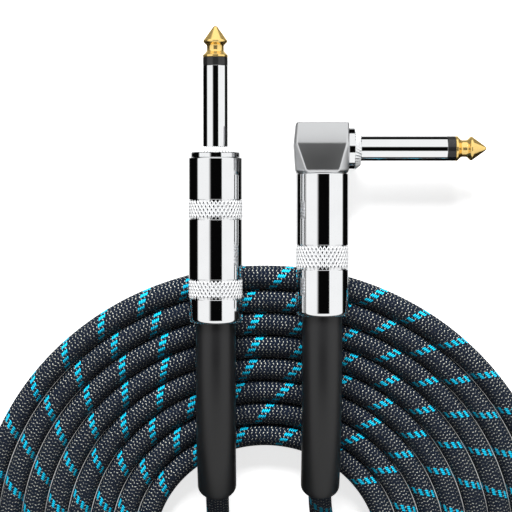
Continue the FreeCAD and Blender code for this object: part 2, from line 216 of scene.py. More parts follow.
def objectPoint(tree):
    return tree.add("ShaderNodeTexCoord").outputs["Object"]


def platedMetal(name, colour, roughness, wear, grain=9000.0, metallic=1.0):
    # plated metal: faint polishing haze and fine scratches in the roughness
    material, tree, shader = newMaterial(name, None, Metallic=metallic)
    place = objectPoint(tree)
    haze = tree.noise(place, 160.0, 3.0)
    fine = tree.noise(place, grain, 2.0)
    rough = tree.math("MULTIPLY_ADD", haze, wear, roughness)
    rough = tree.math("MULTIPLY_ADD", fine, wear * 0.5, rough)
    tone = tree.step(haze, 0.2, 0.8)
    dark = tuple(c * 0.96 for c in colour)
    tree.fill(shader, {"Base Color": tree.mix(tone, (*dark, 1), (*colour, 1)), "Roughness": rough})
    return material


def mouldedPlastic(name, colour, roughness, grainMm=0.12, depthMm=0.006, tint=1.25):
    # moulded rubber or plastic: fine grain and slight tone changes
    material, tree, shader = newMaterial(name, None)
    place = objectPoint(tree)
    grain = tree.noise(place, 1 / (grainMm * mm), 2.0)
    cloud = tree.step(tree.noise(place, 90.0, 3.0), 0.3, 0.7)
    light = tuple(min(1.0, c * tint) for c in colour)
    tree.fill(shader, {
        "Base Color": tree.mix(cloud, (*colour, 1), (*light, 1)),
        "Roughness": tree.math("MULTIPLY_ADD", cloud, 0.06, roughness),
        "Normal": tree.bump(grain, depthMm * mm),
    })
    return material


def cutMetal(name, colour, paintedFlatReflection):
    # knurled plating: bright worked flanks, with the flat tops painted near black as a painted reflection
    # of the dark gap overhead; the tops are marked on the faces as "flat"
    material, tree, shader = newMaterial(name, None, Metallic=0.6)
    place = objectPoint(tree)
    mark = tree.add("ShaderNodeAttribute")
    mark.attribute_name = "flat"
    haze = tree.noise(place, 900.0, 2.0)
    tree.fill(shader, {
        "Base Color": tree.mix(mark.outputs["Fac"], (*colour, 1), (*paintedFlatReflection, 1)),
        "Roughness": tree.math("MULTIPLY_ADD", haze, 0.1, 0.24),
    })
    return material


braid = {
    "carriers": 24,          # yarns each way
    "turnMm": 12.3,          # length in which a yarn goes once round
    "tracers": 4,            # neighbouring coloured yarns
    "dark": (0.004, 0.008, 0.018),
    "darkTwo": (0.006, 0.011, 0.022),
    # painted highlight: the pale colour of the glints on the yarn floats
    "glintColour": (0.60, 0.60, 0.53),
    "tracer": (0.01, 0.66, 1.0),
    "reliefMm": 0.2,
    "strandsPerYarn": 4,
    "strandDepth": 0.05,
    # where on a float's crown the painted highlight starts and where it is full
    "glintFrom": (0.4, 0.85),
    "tracerEdgeShade": 0.45,       # painted shade: share of the tracer's colour left at a yarn's edges
    # painted shade in the hollows between yarns
    "gapShadeColour": (0.003, 0.004, 0.006),
    "roughness": 0.5,
    "speckleScale": 2600.0,
    "cloudScale": 70.0,
}


def braidMaterial(name, spec, uvName):
    # two sets of yarns, each passing over two and under two of the other set
    material, tree, shader = newMaterial(name, None, Specular_IOR_Level=0.25)
    uvNode = tree.tree.nodes.new("ShaderNodeUVMap")
    uvNode.uv_map = uvName
    split = tree.add("ShaderNodeSeparateXYZ", Vector=uvNode.outputs[0])
    n = float(spec["carriers"])
    # U counts turns of a yarn along the cord, V goes once round it
    along = tree.math("MULTIPLY", split.outputs[0], n)
    around = tree.math("MULTIPLY", split.outputs[1], n)
    right = tree.math("ADD", around, along)
    left = tree.math("SUBTRACT", around, along)
    rightYarn = tree.math("FLOOR", right)
    leftYarn = tree.math("FLOOR", left)
    rightIn = tree.math("FRACT", right)
    leftIn = tree.math("FRACT", left)
    phase = tree.math("FLOORED_MODULO", tree.math("ADD", rightYarn, leftYarn), 4.0)
    rightOver = tree.math("LESS_THAN", phase, 1.5)
    across = tree.math("MULTIPLY_ADD", rightOver, tree.math("SUBTRACT", rightIn, leftIn), leftIn)
    lengthwise = tree.math("MULTIPLY_ADD", rightOver, tree.math("SUBTRACT", leftIn, rightIn), rightIn)
    # where the pick is in its float of two crossings
    second = tree.math("FLOORED_MODULO", phase, 2.0)
    onFloat = tree.math("MULTIPLY", tree.math("ADD", lengthwise, second), 0.5)
    crown = tree.math("SINE", tree.math("MULTIPLY", across, math.pi))
    hump = tree.math("SINE", tree.math("MULTIPLY", onFloat, math.pi))
    strands = tree.math("SINE", tree.math("MULTIPLY", across, math.pi * 2 * spec["strandsPerYarn"]))
    rounded = tree.math("POWER", crown, 0.6)
    height = tree.math("MULTIPLY", rounded, tree.math("MULTIPLY_ADD", hump, 0.5, 0.5))
    height = tree.math("MULTIPLY_ADD", strands, spec["strandDepth"], height)
    # colours: coloured tracers among the right-hand yarns; painted highlights, pale glints on the crowns
    # of the floats, on every other yarn each way
    tracerNo = tree.math("FLOORED_MODULO", rightYarn, n)
    isTracer = tree.math("LESS_THAN", tracerNo, spec["tracers"] - 0.5)
    isTracer = tree.math("MULTIPLY", isTracer, rightOver)
    # painted highlight: strongest on the crown of each float
    glintLine = tree.step(tree.math("MULTIPLY", crown, hump), *spec["glintFrom"])
    glintOnLeftYarns = tree.math("LESS_THAN", tree.math("FLOORED_MODULO", leftYarn, 2.0), 0.5)
    glintOnLeftYarns = tree.math("MULTIPLY", glintOnLeftYarns, tree.math("SUBTRACT", 1.0, rightOver))
    glintOnRightYarns = tree.math("LESS_THAN", tree.math("FLOORED_MODULO", rightYarn, 2.0), 0.5)
    glintOnRightYarns = tree.math("MULTIPLY", glintOnRightYarns, rightOver)
    # painted highlight mask, broken up at random by the speckle below
    light = tree.math("MULTIPLY", tree.math("ADD", glintOnLeftYarns, glintOnRightYarns, clamp=True), glintLine)
    speckle = tree.noise(objectPoint(tree), spec["speckleScale"], 1.0)
    light = tree.math("MULTIPLY", light, tree.step(speckle, 0.35, 0.65))
    cloud = tree.noise(objectPoint(tree), spec["cloudScale"], 2.0)
    ground = tree.mix(cloud, (*spec["dark"], 1), (*spec["darkTwo"], 1))
    colour = tree.mix(light, ground, (*spec["glintColour"], 1))
    # painted shade: tracer yarns darker towards their edges, where they dip under their neighbours
    shadedTracer = tuple(c * spec["tracerEdgeShade"] for c in spec["tracer"])
    tone = tree.mix(tree.step(crown, 0.2, 1.0), (*shadedTracer, 1), (*spec["tracer"], 1))
    colour = tree.mix(isTracer, colour, tone)
    # painted shade: the low parts between yarns are darkened
    gap = tree.step(height, 0.0, 0.35)
    colour = tree.mix(gap, (*spec["gapShadeColour"], 1), colour)
    tree.fill(shader, {
        "Base Color": colour,
        "Roughness": tree.math("MULTIPLY_ADD", speckle, 0.2, spec["roughness"]),
        "Normal": tree.bump(height, spec["reliefMm"] * mm, 0.9),
    })
    return material


chrome = platedMetal("chromePlate", (0.93, 0.94, 0.95), 0.035, 0.03)
satinChrome = platedMetal("satinChromePlate", (0.74, 0.75, 0.76), 0.25, 0.06, 5000.0)
# the knurl's flat tops get a near-black painted reflection of the dark gap overhead
cutChrome = cutMetal("cutChrome", (0.92, 0.93, 0.94), (0.05, 0.05, 0.055))
gold = platedMetal("goldPlate", (1.0, 0.70, 0.24), 0.1, 0.05, 9000.0, 0.86)
tinned = platedMetal("tinPlate", (0.72, 0.72, 0.70), 0.3, 0.15)
copper = platedMetal("bareCopper", (0.80, 0.42, 0.25), 0.3, 0.15)
solder = platedMetal("solderMetal", (0.68, 0.69, 0.71), 0.25, 0.2)
bootRubber = mouldedPlastic("bootRubber", (0.007, 0.007, 0.0075), 0.38)
ringPlastic = mouldedPlastic("ringPlastic", (0.012, 0.012, 0.012), 0.12, 0.1, 0.001)
insulator = mouldedPlastic("insulatorPlastic", (0.78, 0.78, 0.74), 0.45)
linerPlastic = mouldedPlastic("linerPlastic", (0.85, 0.85, 0.80), 0.35)
jacketRubber = mouldedPlastic("jacketRubber", (0.03, 0.03, 0.03), 0.6)
print("materials made")

# cord
cord = {
    "diameterMm": 6.1,
    "lengthM": 3.11,
    "stepMm": 1.25,
    "sides": 18,
}
coil = {
    "centre": (-19.3, -80.1),
    "pitch": 6.15,
    "startRadius": 31.385,
    "startDeg": 205.0,
    "endDeg": -42.0,
    "wholeTurns": 7,
    "oval": 14.0,            # the far half is longer by this
    "perTurn": 16,
}
straightRoute = [
    (-31.0, -59.0, 9.9),
    (-31.0, -65.8, 6.2),
    (-30.8, -73.9, 4.1),
    (-30.7, -82.7, 3.3),
    (-31.0, -91.3, 4.0),
    (-31.2, -99.3, 6.0),
    (-31.2, -106.5, 8.3),
    (-31.1, -113.9, 9.6),
    (-31.0, -122.7, 9.6),
    (-30.9, -131.2, 9.4),
    (-30.3, -139.7, 9.4),
    (-27.3, -148.6, 9.4),
    (-20.8, -156.9, 9.4),
    (-11.9, -162.5, 9.4),
    (-1.6, -164.7, 9.4),
    (8.8, -163.2, 9.4),
    (18.6, -161.0, 8.9),
    (26.8, -155.8, 6.2),
    (33.0, -149.1, 3.5),
]
angleRoute = [
    (-3.8, -58.5, 11.1),
    (-3.8, -65.9, 7.7),
    (-1.6, -74.4, 4.6),
    (2.7, -82.4, 3.2),
    (4.9, -90.9, 3.1),
    (4.2, -99.7, 3.1),
    (0.8, -107.8, 3.1),
    (-5.1, -114.3, 3.1),
    (-12.9, -118.4, 3.1),
    (-21.6, -119.6, 3.1),
    (-30.3, -117.9, 3.1),
    (-37.9, -113.6, 3.1),
    (-44.0, -107.3, 3.1),
]


def coilPoints(spec, height):
    # from the outer end inwards; pushed out so that the smooth line keeps the true radius
    turns = spec["wholeTurns"] + (spec["startDeg"] - spec["endDeg"]) / 360
    count = round(turns * spec["perTurn"])
    swell = 1 / math.cos(math.pi / spec["perTurn"])
    points = []
    for k in range(count + 1):
        turn = turns * (1 - k / count)
        angle = math.radians(spec["startDeg"] - 360 * turn)
        radius = spec["startRadius"] + spec["pitch"] * turn
        atEnd = k in (0, count)
        grow = 1.0 if atEnd else swell
        deep = radius + spec["oval"] if math.sin(angle) < 0 else radius
        x = spec["centre"][0] + grow * radius * math.cos(angle)
        y = spec["centre"][1] + grow * deep * math.sin(angle)
        points.append((x, y, height))
    return points


def splineCurve(name, points):
    data = bpy.data.curves.new(name, "CURVE")
    data.dimensions = "3D"
    data.resolution_u = 32
    spline = data.splines.new("NURBS")
    spline.points.add(len(points) - 1)
    for point, place in zip(spline.points, points):
        point.co = (*[c * mm for c in place], 1)
    spline.order_u = 3
    spline.use_endpoint_u = True
    return data


def lineOf(data):
    # the smooth line's own points
    holder = bpy.data.objects.new("lineHolder", data)
    scene.collection.objects.link(holder)
    depsgraph = bpy.context.evaluated_depsgraph_get()
    line = bpy.data.meshes.new_from_object(holder.evaluated_get(depsgraph))
    points = [v.co.copy() for v in line.vertices]
    bpy.data.objects.remove(holder)
    bpy.data.meshes.remove(line)
    return points


def evenSteps(points, step):
    lengths = [0.0]
    for a, b in zip(points[:-1], points[1:]):
        lengths.append(lengths[-1] + (b - a).length)
    count = round(lengths[-1] / step)
    spaced = []
    at = 0
    for k in range(count + 1):
        want = lengths[-1] * k / count
        while at < len(points) - 2 and lengths[at + 1] < want:
            at += 1
        span = lengths[at + 1] - lengths[at]
        share = (want - lengths[at]) / span if span else 0.0
        spaced.append(points[at].lerp(points[at + 1], share))
    return spaced, lengths[-1]


def tubeAlong(name, path, radius, sides, uvName, turnLength):
    # a tube whose rings turn as little as they can; U counts turns of a yarn, V goes once round
    bm = bmesh.new()
    uvLayer = bm.loops.layers.uv.new(uvName)
    rings = []
    side = None
    for k, place in enumerate(path):
        ahead = (path[min(k + 1, len(path) - 1)] - path[max(k - 1, 0)]).normalized()
        if side is None:
            side = Vector((0, 0, 1)).cross(ahead)
        side = (side - ahead * side.dot(ahead)).normalized()
        up = ahead.cross(side)
        ring = []
        for n in range(sides):
            angle = 2 * math.pi * n / sides
            out = side * math.cos(angle) + up * math.sin(angle)
            ring.append(bm.verts.new(place + out * radius))
        rings.append(ring)
    travelled = 0.0
    for k in range(len(rings) - 1):
        ahead = (path[k + 1] - path[k]).length
        for n in range(sides):
            m = (n + 1) % sides
            face = bm.faces.new((rings[k][n], rings[k][m], rings[k + 1][m], rings[k + 1][n]))
            face.smooth = True
            low, high = travelled / turnLength, (travelled + ahead) / turnLength
            corners = ((low, n), (low, n + 1), (high, n + 1), (high, n))
            for loop, (u, v) in zip(face.loops, corners):
                loop[uvLayer].uv = (u, v / sides)
        travelled += ahead
    bm.faces.new(reversed(rings[0]))
    bm.faces.new(rings[-1])
    bmesh.ops.recalc_face_normals(bm, faces=bm.faces)
    mesh = bpy.data.meshes.new(name)
    bm.to_mesh(mesh)
    bm.free()
    return mesh


def makeCord():
    radius = cord["diameterMm"] / 2
    points = straightRoute + coilPoints(coil, radius) + list(reversed(angleRoute))
    curve = splineCurve("cordLine", points)
    path, length = evenSteps(lineOf(curve), cord["stepMm"] * mm)
    bpy.data.curves.remove(curve)
    print("cord length", round(length, 4))
    mesh = tubeAlong("wovenCord", path, radius * mm, cord["sides"], "braid", braid["turnMm"] * mm)
    piece = meshObject("wovenCord", mesh, braidMaterial("wovenBraid", braid, "braid"))
    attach(piece, "cable")
    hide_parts("cord_coil", "cord_straight_tail", "cord_angle_tail")
    return piece


makeCord()
print("cord made")


# rings of repeated cells: knurling and serrations
def cellRingTree():
    tree = bpy.data.node_groups.new("cellRings", "GeometryNodeTree")
    face = tree.interface
    for name, kind in (
        ("Cell", "NodeSocketObject"), ("Around", "NodeSocketInt"), ("Rows", "NodeSocketInt"),
        ("Radius", "NodeSocketFloat"), ("Row Pitch", "NodeSocketFloat"), ("First Row", "NodeSocketFloat"),
        ("Finish", "NodeSocketMaterial"),
    ):
        face.new_socket(name=name, in_out="INPUT", socket_type=kind)
    face.new_socket(name="Geometry", in_out="OUTPUT", socket_type="NodeSocketGeometry")
    n = Nodes(tree)
    given = tree.nodes.new("NodeGroupInput").outputs
    index = tree.nodes.new("GeometryNodeInputIndex").outputs[0]
    row = n.math("FLOOR", n.math("DIVIDE", index, given["Around"]))
    column = n.math("FLOORED_MODULO", index, given["Around"])
    shifted = n.math("MULTIPLY_ADD", n.math("FLOORED_MODULO", row, 2.0), 0.5, column)
    angle = n.math("DIVIDE", n.math("MULTIPLY", shifted, 2 * math.pi), given["Around"])
    place = n.add(
        "ShaderNodeCombineXYZ",
        X=n.math("MULTIPLY", given["Radius"], n.math("COSINE", angle)),
        Y=n.math("MULTIPLY", given["Radius"], n.math("SINE", angle)),
        Z=n.math("MULTIPLY_ADD", row, given["Row Pitch"], given["First Row"]),
    ).outputs[0]
    turn = n.add("ShaderNodeCombineXYZ", Z=angle).outputs[0]
    count = n.math("MULTIPLY", given["Around"], given["Rows"])
    points = n.add("GeometryNodePoints", Count=count, Position=place)
    cell = n.add("GeometryNodeObjectInfo", Object=given["Cell"])
    spread = n.add("GeometryNodeInstanceOnPoints", Points=points.outputs[0], Rotation=turn)
    n.links.new(cell.outputs["Geometry"], spread.inputs["Instance"])
    real = n.add("GeometryNodeRealizeInstances", Geometry=spread.outputs[0])
    painted = n.add("GeometryNodeSetMaterial", Geometry=real.outputs[0], Material=given["Finish"])
    out = tree.nodes.new("NodeGroupOutput")
    n.links.new(painted.outputs[0], out.inputs[0])
    return tree


cellRings = cellRingTree()


def ringOfCells(name, cellMesh, inputs):
    cell = meshObject(name + "Cell", cellMesh)
    holder = meshObject(name, bpy.data.meshes.new(name))
    modifier = holder.modifiers.new("cells", "NODES")
    modifier.node_group = cellRings
    sockets = {s.name: s.identifier for s in cellRings.interface.items_tree if s.in_out == "INPUT"}
    for key, value in {**inputs, "Cell": cell}.items():
        modifier[sockets[key]] = value
    bpy.context.view_layer.update()
    depsgraph = bpy.context.evaluated_depsgraph_get()
    mesh = bpy.data.meshes.new_from_object(holder.evaluated_get(depsgraph))
    mesh.name = name
    bpy.data.objects.remove(holder)
    bpy.data.objects.remove(cell)
    return mesh


def diamondMesh(halfWidth, halfLength, height, topShare):
    # a raised diamond with a small flat top; radial +X, round +Y, along +Z
    bm = bmesh.new()
    corners = ((halfWidth, 0), (0, halfLength), (-halfWidth, 0), (0, -halfLength))
    base = [bm.verts.new((0, y * mm, z * mm)) for y, z in corners]
    top = [bm.verts.new((height * mm, y * topShare * mm, z * topShare * mm)) for y, z in corners]
    for k in range(4):
        n = (k + 1) % 4
        bm.faces.new((base[k], base[n], top[n], top[k]))
    # marks the flat top, which the knurl material paints dark as a painted reflection
    flat = bm.faces.layers.float.new("flat")
    bm.faces.new(top)[flat] = 1.0
    bm.faces.new(reversed(base))
    mesh = bpy.data.meshes.new("diamondCell")
    bm.to_mesh(mesh)
    bm.free()
    return mesh


def serrationMesh(outer, inner, width, height, slant):
    # a slanted ridge from (radius, length) outer to inner, about the ring's own radius
    bm = bmesh.new()
    slope = Vector((inner[1] - outer[1], outer[0] - inner[0])).normalized()
    ends = []
    for (r, z), shift in ((outer, -slant / 2), (inner, slant / 2)):
        share = r / outer[0]
        low = [(r, shift - width * share / 2, z), (r, shift + width * share / 2, z)]
        peak = (r + slope.x * height, shift, z + slope.y * height)
        ends.append([bm.verts.new(Vector(p) * mm) for p in (low[0], peak, low[1])])
    a, b = ends
    for k in range(3):
        n = (k + 1) % 3
        bm.faces.new((a[k], a[n], b[n], b[k]))
    bm.faces.new(reversed(a))
    bm.faces.new(b)
    bmesh.ops.recalc_face_normals(bm, faces=bm.faces)
    mesh = bpy.data.meshes.new("serrationCell")
    bm.to_mesh(mesh)
    bm.free()
    return mesh


def joined(name, meshes, seat, material):
    # several meshes in a plug's own frame, as one mesh in the row's frame
    bm = bmesh.new()
    for mesh in meshes:
        bm.from_mesh(mesh)
    bm.transform(seat)
    whole = bpy.data.meshes.new(name)
    bm.to_mesh(whole)
    bm.free()
    for mesh in meshes:
        bpy.data.meshes.remove(mesh)
    return meshObject(name, whole, material)


# barrels
barrelSizes = {
    "wallLip": 5.25,
    "bore": 5.55,
    "lipLength": 3.0,
    "rearRound": 1.15,
    "frontRound": 0.28,
    "knurlDepth": 0.32,
    "knurlPitch": 1.06,
    "knurlFlat": 0.44,
}
barrels = {
    "straight": {"radius": 6.85, "length": 42.0, "knurls": ((10.6, 5.0, 5), (30.8, 5.0, 5))},
    "angle": {"radius": 6.65, "length": 36.3, "knurls": ((18.2, 6.2, 6),)},
}


def makeBarrel(side):
    spec, seat = barrels[side], seatOf(side)
    sizes = barrelSizes
    r, length = spec["radius"], spec["length"]
    floorR = r - sizes["knurlDepth"]
    front, rear = sizes["frontRound"], sizes["rearRound"]
    outside = arcPoints(r - front, -front, front, 90, 0)
    for start, size, rows in spec["knurls"]:
        lip = 0.1
        outside += [
            (r, -start + lip), (r - 0.05, -start + lip / 3), (floorR, -start), (floorR, -start - size),
            (r - 0.05, -start - size - lip / 3), (r, -start - size - lip),
        ]
    outside += arcPoints(r - rear, -length + rear, rear, 0, -90, 8)
    inside = arcPoints(sizes["wallLip"] + 0.25, -length + 0.25, 0.25, -90, -180, 3)
    inside += [
        (sizes["wallLip"], -length + sizes["lipLength"]),
        (sizes["bore"], -length + sizes["lipLength"]),
        (sizes["bore"], -0.2),
        (sizes["bore"] + 0.2, 0),
    ]
    shell = smoothMesh(turnedMesh(side + "Shell", outside + inside, 128))
    pieces = [(joined(side + "Barrel", [shell], seat, chrome), "chrome")]
    for start, size, rows in spec["knurls"]:
        around = round(2 * math.pi * r / sizes["knurlPitch"])
        halfLength = size / (rows + 1)
        halfWidth = math.pi * floorR / around
        diamond = diamondMesh(halfWidth, halfLength, sizes["knurlDepth"], sizes["knurlFlat"])
        knurl = ringOfCells(side + "Knurl" + str(round(start)), diamond, {
            "Around": around, "Rows": rows, "Radius": floorR * mm, "Row Pitch": halfLength * mm,
            "First Row": (-start - size + halfLength) * mm, "Finish": cutChrome,
        })
        pieces.append((joined(side + "Knurl" + str(len(pieces)), [knurl], seat, cutChrome), "chrome"))
    for piece, slot in pieces:
        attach(piece, side + "_shell")
        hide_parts(side + "_barrel")


# collars
collarSizes = {
    "straight": {
        "face": 6.25, "nose": 3.85, "flat": 1.3, "length": 2.75, "thread": 5.5, "threadLength": 7.0,
        "hole": 2.55, "pocket": -1.8, "bore": 1.65, "teeth": 46,
    },
    "angle": {
        "face": 5.25, "nose": 4.1, "flat": 1.7, "length": 3.2, "thread": 3.5, "threadLength": 4.0,
        "hole": 2.55, "pocket": -2.05, "bore": 1.65, "teeth": 38,
    },
}


def makeCollar(side, seat):
    c = collarSizes[side]
    edge = 0.15
    profile = [
        (c["bore"], -c["threadLength"]), (c["thread"] - 0.3, -c["threadLength"]),
        (c["thread"], -c["threadLength"] + 0.3), (c["thread"], 0), (c["face"] - edge, 0),
        (c["face"], edge), (c["face"], c["flat"] - edge), (c["face"] - edge, c["flat"]),
        (c["nose"], c["length"] - edge), (c["nose"] - edge, c["length"]),
        (c["hole"], c["length"]), (c["hole"], c["pocket"]), (c["bore"], c["pocket"]),
    ]
    body = smoothMesh(turnedMesh(side + "CollarBody", profile, 128), 20)
    outer, inner = (c["face"] - edge * 1.2, c["flat"] - 0.02), (c["nose"] + 0.02, c["length"] - edge)
    width = 2 * math.pi * c["face"] / c["teeth"]
    ridge = serrationMesh(outer, inner, width * 0.9, 0.22, 0.75)
    teeth = ringOfCells(side + "Teeth", ridge, {
        "Around": c["teeth"], "Rows": 1, "Radius": 0.0, "Row Pitch": 0.0, "First Row": 0.0,
        "Finish": cutChrome,
    })
    for name, mesh, material in (("Collar", body, chrome), ("Serration", teeth, cutChrome)):
        piece = joined(side + name, [mesh], seat, material)
        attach(piece, "cable")
        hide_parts(side + "_collar")


# shafts
shaftSizes = {
    "radius": 3.175, "bore": 1.65, "rod": 0.95, "ring": 2.05, "tip": 8.0,
    "spigot": 2.5, "edge": 0.12, "apexRound": 0.75,
}
shaftLengths = {
    "straight": {"length": 30.6, "spigotLength": 4.5, "rodEnd": -11.85},
    "angle": {"length": 32.0, "spigotLength": 5.2, "rodEnd": -9.65},
}


def makeShaft(side, seat):
    s, own = shaftSizes, shaftLengths[side]
    r, e = s["radius"], s["edge"]
    base = own["length"] - s["tip"]
    front = base - s["ring"]
    sleeve = turnedMesh(side + "SleeveBody", [
        (s["bore"], -own["spigotLength"]), (s["spigot"], -own["spigotLength"]), (s["spigot"], 0),
        (r - e, 0), (r, e), (r, front - e), (r - e * 0.6, front - e * 0.2), (r - e, front),
        (s["bore"], front),
    ], 96)
    ring = turnedMesh(side + "RingBody", [
        (s["rod"] + 0.05, front), (r - 0.06, front), (r - 0.03, front + 0.05),
        (r - 0.03, base - 0.05), (r - 0.06, base), (s["rod"] + 0.05, base),
    ], 96)
    apex = own["length"]
    ball = arcPoints(2.55, apex - 3.9, 0.52, -40, 38, 6)
    nose = arcPoints(0, apex - s["apexRound"], s["apexRound"], 38, 90, 5)
    tip = turnedMesh(side + "TipBody", [
        (0, own["rodEnd"]), (s["rod"], own["rodEnd"]), (s["rod"], base), (r - e, base), (r, base + e),
        (r, apex - 7.45), (r - 0.1, apex - 7.32), (2.35, apex - 6.6), (2.18, apex - 6.35),
        (2.15, apex - 6.1), (2.16, apex - 5.2), (2.25, apex - 4.92),
    ] + ball + nose, 96)
    for name, mesh, material, slot, node in (
        ("Sleeve", sleeve, chrome, "chrome", "_sleeve"),
        ("TipRing", ring, ringPlastic, "black_ring", "_tip_ring"),
        ("Tip", tip, gold, "gold", "_tip_contact"),
    ):
        piece = joined(side + name, [smoothMesh(mesh, 28)], seat, material)
        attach(piece, "cable")
        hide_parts(side + node)


# right-angle head
headSizes = {
    # length from the barrel, left, right, half depth, corner cut
    "sections": (
        (0.0, -6.5, 6.1, 6.45, 2.7),
        (0.7, -6.85, 6.5, 6.7, 2.5),
        (7.4, -7.3, 6.5, 6.8, 0.65),
        (12.7, -6.8, 6.5, 6.0, 0.55),
    ),
    "edge": 0.26,
    "edgeSteps": 3,
    "cavity": (4.2, 10.4),
    "sideHole": (3.5, 2.0, 6.35),
    "stub": (5.5, 4.2, 7.0),
}


def cutAway(name, mesh, cutters):
    block = meshObject(name, mesh)
    tools = [meshObject(name + "Tool", cutter) for cutter in cutters]
    for tool in tools:
        modifier = block.modifiers.new("cut", "BOOLEAN")
        modifier.operation = "DIFFERENCE"
        modifier.object = tool
    bpy.context.view_layer.update()
    depsgraph = bpy.context.evaluated_depsgraph_get()
    result = bpy.data.meshes.new_from_object(block.evaluated_get(depsgraph))
    for used in (block, *tools):
        bpy.data.objects.remove(used)
    bm = bmesh.new()
    bm.from_mesh(result)
    bmesh.ops.dissolve_degenerate(bm, dist=10 * samePoint, edges=bm.edges)
    bm.to_mesh(result)
    bm.free()
    return result


def makeHead():
    h = headSizes
    bm = bmesh.new()
    rings = []
    for z, left, right, deep, cut in h["sections"]:
        corners = (
            (left + cut, -deep), (right - cut, -deep), (right, -deep + cut), (right, deep - cut),
            (right - cut, deep), (left + cut, deep), (left, deep - cut), (left, -deep + cut),
        )
        rings.append([bm.verts.new((x * mm, y * mm, z * mm)) for x, y in corners])
    for a, b in zip(rings[:-1], rings[1:]):
        for k in range(8):
            n = (k + 1) % 8
            bm.faces.new((a[k], a[n], b[n], b[k]))
    bm.faces.new(reversed(rings[0]))
    bm.faces.new(rings[-1])
    bmesh.ops.recalc_face_normals(bm, faces=bm.faces)
    sharp = [e for e in bm.edges if e.calc_face_angle() > math.radians(4)]
    bmesh.ops.bevel(bm, geom=sharp, offset=h["edge"] * mm, segments=h["edgeSteps"],
                    affect="EDGES", profile=0.5, clamp_overlap=True)
    block = bpy.data.meshes.new("headBlock")
    bm.to_mesh(block)
    bm.free()
    radius, depth = h["cavity"]
    cavity = turnedMesh("cavityTool", [(0, -1), (radius, -1), (radius, depth), (0, depth)], 64)
    radius, start, height = h["sideHole"]
    hole = turnedMesh("holeTool", [(0, start), (radius, start), (radius, 9), (0, 9)], 64)
    hole.transform(Matrix.Translation((0, 0, height * mm)) @ Matrix.Rotation(math.radians(90), 4, "Y"))
    block = smoothMesh(cutAway("headBlock", block, [cavity, hole]), 20)
    outer, inner, length = h["stub"]
    stub = turnedMesh("headStub", [
        (inner, -length), (outer - 0.3, -length), (outer, -length + 0.3), (outer, 0.3), (inner, 0.3),
    ], 96)
    piece = joined("angleHead", [block, smoothMesh(stub)], seatOf("angle"), satinChrome)
    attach(piece, "cable")
    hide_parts("angle_head")


# boots
bootSizes = {
    "radius": 5.1, "bore": 3.16, "flange": 5.4, "flangeLength": 1.5, "stub": 7.0, "endRound": 0.7,
    "straight": {"barrel": 42.0, "bend": 61.0, "turnDeg": 38.0},
    "angle": {"barrel": 36.3, "bend": 66.0, "turnDeg": 36.0},
}


def makeBoot(side):
    seat, own = seatOf(side), bootSizes[side]
    front = -(own["barrel"] - 3.2)
    bendAt = -(own["barrel"] + bootSizes["stub"])
    arcLength = own["bend"] * math.radians(own["turnDeg"])
    total = front - bendAt + arcLength

    def along(distance):
        # a point of the boot's centre line, and how far it has turned
        z = front - distance
        if z >= bendAt:
            return Vector((0, 0, z)), 0.0
        turn = (bendAt - z) / own["bend"]
        lift = own["bend"] * (1 - math.cos(turn))
        return Vector((0, lift, bendAt - own["bend"] * math.sin(turn))), turn

    r, bore, rounding = bootSizes["radius"], bootSizes["bore"], bootSizes["endRound"]
    section = [(0.0, bore), (0.0, r)]
    section += [(0.8 + (total - 0.8 - rounding) * k / 36, r) for k in range(37)]
    section += [(total - rounding + rounding * math.sin(a), r - rounding * (1 - math.cos(a)))
                for a in (math.radians(d) for d in (20, 40, 60, 75, 90))]
    section += [(total, bore + 0.3), (total - 0.3, bore)]
    section += [(total - 0.3 - (total - 0.5) * k / 12, bore) for k in range(1, 12)]
    bm = bmesh.new()
    sides, rings = 64, []
    for distance, radius in section:
        centre, turn = along(distance)
        back = Vector((0, math.sin(turn), -math.cos(turn)))
        across = Vector((1, 0, 0))
        other = back.cross(across)
        ring = []
        for k in range(sides):
            angle = 2 * math.pi * k / sides
            out = across * math.cos(angle) + other * math.sin(angle)
            ring.append(bm.verts.new((centre + out * radius) * mm))
        rings.append(ring)
    for a, b in zip(rings, rings[1:] + rings[:1]):
        for k in range(sides):
            n = (k + 1) % sides
            bm.faces.new((a[k], a[n], b[n], b[k]))
    bmesh.ops.recalc_face_normals(bm, faces=bm.faces)
    mesh = bpy.data.meshes.new(side + "BootBody")
    bm.to_mesh(mesh)
    bm.free()
    flangeFront = front + bootSizes["flangeLength"]
    flangeBore = bore + 0.02
    flange = turnedMesh(side + "BootFlange", [
        (flangeBore, front), (bootSizes["flange"], front), (bootSizes["flange"], flangeFront - 0.2),
        (bootSizes["flange"] - 0.2, flangeFront), (flangeBore, flangeFront),
    ], 64)
    piece = joined(side + "Boot", [smoothMesh(mesh, 35), smoothMesh(flange)], seat, bootRubber)
    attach(piece, "cable")
    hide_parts(side + "_boot")


crossAt = 6.35 * mm      # shaft axis of the right-angle plug, from the barrel's front face
headRight = 6.5 * mm
for side in ("straight", "angle"):
    seat = seatOf(side)
    makeBarrel(side)
    if side == "angle":
        sideways = Matrix.Translation((headRight, 0, crossAt)) @ Matrix.Rotation(math.radians(90), 4, "Y")
        collarSeat = seat @ sideways
    else:
        collarSeat = seat
    makeCollar(side, collarSeat)
    shoulder = Matrix.Translation((0, 0, collarSizes[side]["length"] * mm))
    makeShaft(side, collarSeat @ shoulder)
    makeBoot(side)
    print(side, "plug made")
makeHead()

